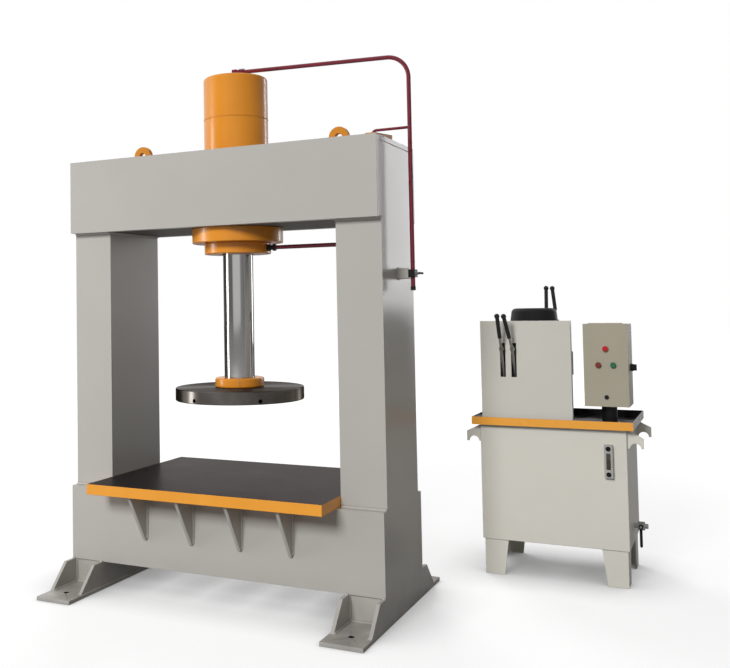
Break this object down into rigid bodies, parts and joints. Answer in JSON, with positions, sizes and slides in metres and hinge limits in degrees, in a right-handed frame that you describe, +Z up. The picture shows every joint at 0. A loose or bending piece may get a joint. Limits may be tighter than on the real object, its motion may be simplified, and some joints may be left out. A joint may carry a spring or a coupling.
{
  "type": "tyre press",
  "caption": "Hydraulic tyre press: welded H-frame with an overhead cylinder, round press disc and table, and its free-standing power unit with levers and control box.",
  "frame": {"origin": "on the floor, in the middle of the press's four anchor holes", "axes": "+Z up, +X to the operator's right, towards the power unit's side, +Y to the back"},
  "size_m": [2.36, 1.6752, 2.3319],
  "materials": {
    "frame_paint": "semi-gloss light grey machine paint",
    "orange_paint": "gloss orange machine paint",
    "table_steel": "dark oiled ground plate, its edges painted orange",
    "rod_chrome": "hard chromed and polished",
    "disc_steel": "turned steel, bare and lightly oiled",
    "inner_steel": "machined steel",
    "black_steel": "blackened steel",
    "seal_rubber": "black seal rubber",
    "pipe_paint": "gloss dark maroon paint",
    "clip_plastic": "black plastic",
    "unit_paint": "satin off-white paint",
    "box_paint": "satin beige powder coat",
    "tray_paint": "gloss black inside, orange front rim",
    "motor_paint": "dark grey motor paint",
    "valve_iron": "painted iron casting",
    "lever_black": "bright rod with a black grip and knob",
    "lamp_red": "clear red lens",
    "stop_red": "brown-red plastic",
    "start_green": "green plastic",
    "lock_black": "black lock",
    "switch_black": "dark plastic knob",
    "gauge_metal": "grey cast frame",
    "drain_metal": "plated fitting"
  },
  "bodies": {
    "press": {"left_upright": "frame_paint", "right_upright": "frame_paint", "left_foot": "frame_paint", "right_foot": "frame_paint", "base_front_plate": "frame_paint", "base_rear_plate": "frame_paint", "base_diaphragms": "frame_paint", "beam_front_plate": "frame_paint", "beam_rear_plate": "frame_paint", "beam_top_plate": "frame_paint", "beam_bottom_plate": "frame_paint", "table_gussets": "frame_paint", "lifting_lugs": "orange_paint", "cylinder_barrel": "orange_paint", "cylinder_cap": "orange_paint", "gland": "orange_paint", "beam_cleat": "orange_paint", "table_plate": "table_steel", "cylinder_bolts": "black_steel", "cap_elbow": "black_steel", "gland_fitting": "black_steel", "box_post": "black_steel", "rod_wiper": "seal_rubber", "pressure_pipe": "pipe_paint", "return_pipe": "pipe_paint", "stay_rod": "pipe_paint", "pipe_clips": "clip_plastic", "pipe_caps": "clip_plastic", "tank": "unit_paint", "tank_legs": "unit_paint", "tank_ears": "unit_paint", "motor_guard": "unit_paint", "control_box": "box_paint", "drip_tray": "tray_paint", "motor_body": "motor_paint", "fan_cover": "motor_paint", "front_valve": "valve_iron", "rear_valve": "valve_iron", "pump": "valve_iron", "level_gauge": "gauge_metal", "drain_valve": "drain_metal"},
    "ram": {"piston": "inner_steel", "piston_seals": "seal_rubber", "ram_rod": "rod_chrome", "collar_left": "orange_paint", "collar_right": "orange_paint", "collar_bolts": "black_steel", "press_disc": "disc_steel"},
    "front_left_arm": {"front_left_lever": "lever_black"},
    "front_right_arm": {"front_right_lever": "lever_black"},
    "rear_left_arm": {"rear_left_lever": "lever_black"},
    "rear_right_arm": {"rear_right_lever": "lever_black"},
    "door": {"control_door": "box_paint", "power_lamp": "lamp_red"},
    "stop": {"stop_button": "stop_red"},
    "start": {"start_button": "start_green"},
    "lock": {"door_lock": "lock_black"},
    "isolator": {"main_switch": "switch_black"},
    "drain_handle": {"drain_lever": "black_steel"},
    "rotor": {"motor_rotor": "inner_steel"}
  },
  "joints": [
    {"name": "ram_slide", "type": "slide", "parent": "press", "child": "ram", "axis": [0, 0, 1], "range_m": [-0.08, 0.42]},
    {"name": "front_left_turn", "type": "hinge", "parent": "press", "child": "front_left_arm", "pos_m": [1.016, 0.735, 0.89], "axis": [1, 0, 0], "range_deg": [-9, 9], "stiffness_Nm_per_rad": 40},
    {"name": "front_right_turn", "type": "hinge", "parent": "press", "child": "front_right_arm", "pos_m": [1.066, 0.735, 0.89], "axis": [1, 0, 0], "range_deg": [-9, 9], "stiffness_Nm_per_rad": 40},
    {"name": "rear_left_turn", "type": "hinge", "parent": "press", "child": "rear_left_arm", "pos_m": [1.137, 1.139, 0.989], "axis": [1, 0, 0], "range_deg": [-9, 9], "stiffness_Nm_per_rad": 40},
    {"name": "rear_right_turn", "type": "hinge", "parent": "press", "child": "rear_right_arm", "pos_m": [1.187, 1.139, 0.989], "axis": [1, 0, 0], "range_deg": [-9, 9], "stiffness_Nm_per_rad": 40},
    {"name": "door_hinge", "type": "hinge", "parent": "press", "child": "door", "pos_m": [1.464, 0.73, 1.1548], "axis": [-1, 0, 0], "range_deg": [0, 100]},
    {"name": "stop_push", "type": "slide", "parent": "door", "child": "stop", "axis": [0, 1, 0], "range_m": [0, 0.004], "stiffness_N_per_m": 400},
    {"name": "start_push", "type": "slide", "parent": "door", "child": "start", "axis": [0, 1, 0], "range_m": [0, 0.004], "stiffness_N_per_m": 400},
    {"name": "lock_turn", "type": "hinge", "parent": "door", "child": "lock", "pos_m": [1.464, 0.716, 0.829], "axis": [0, 1, 0], "range_deg": [0, 90]},
    {"name": "isolator_turn", "type": "hinge", "parent": "press", "child": "isolator", "pos_m": [1.558, 0.801, 0.957], "axis": [1, 0, 0], "range_deg": [0, 90]},
    {"name": "drain_turn", "type": "hinge", "parent": "press", "child": "drain_handle", "pos_m": [1.571, 0.893, 0.23], "axis": [0, -1, 0], "range_deg": [0, 90]},
    {"name": "rotor_spin", "type": "hinge", "parent": "press", "child": "rotor", "pos_m": [1.117, 0.935, 0.693], "axis": [0, 0, 1], "continuous": true}
  ]
}
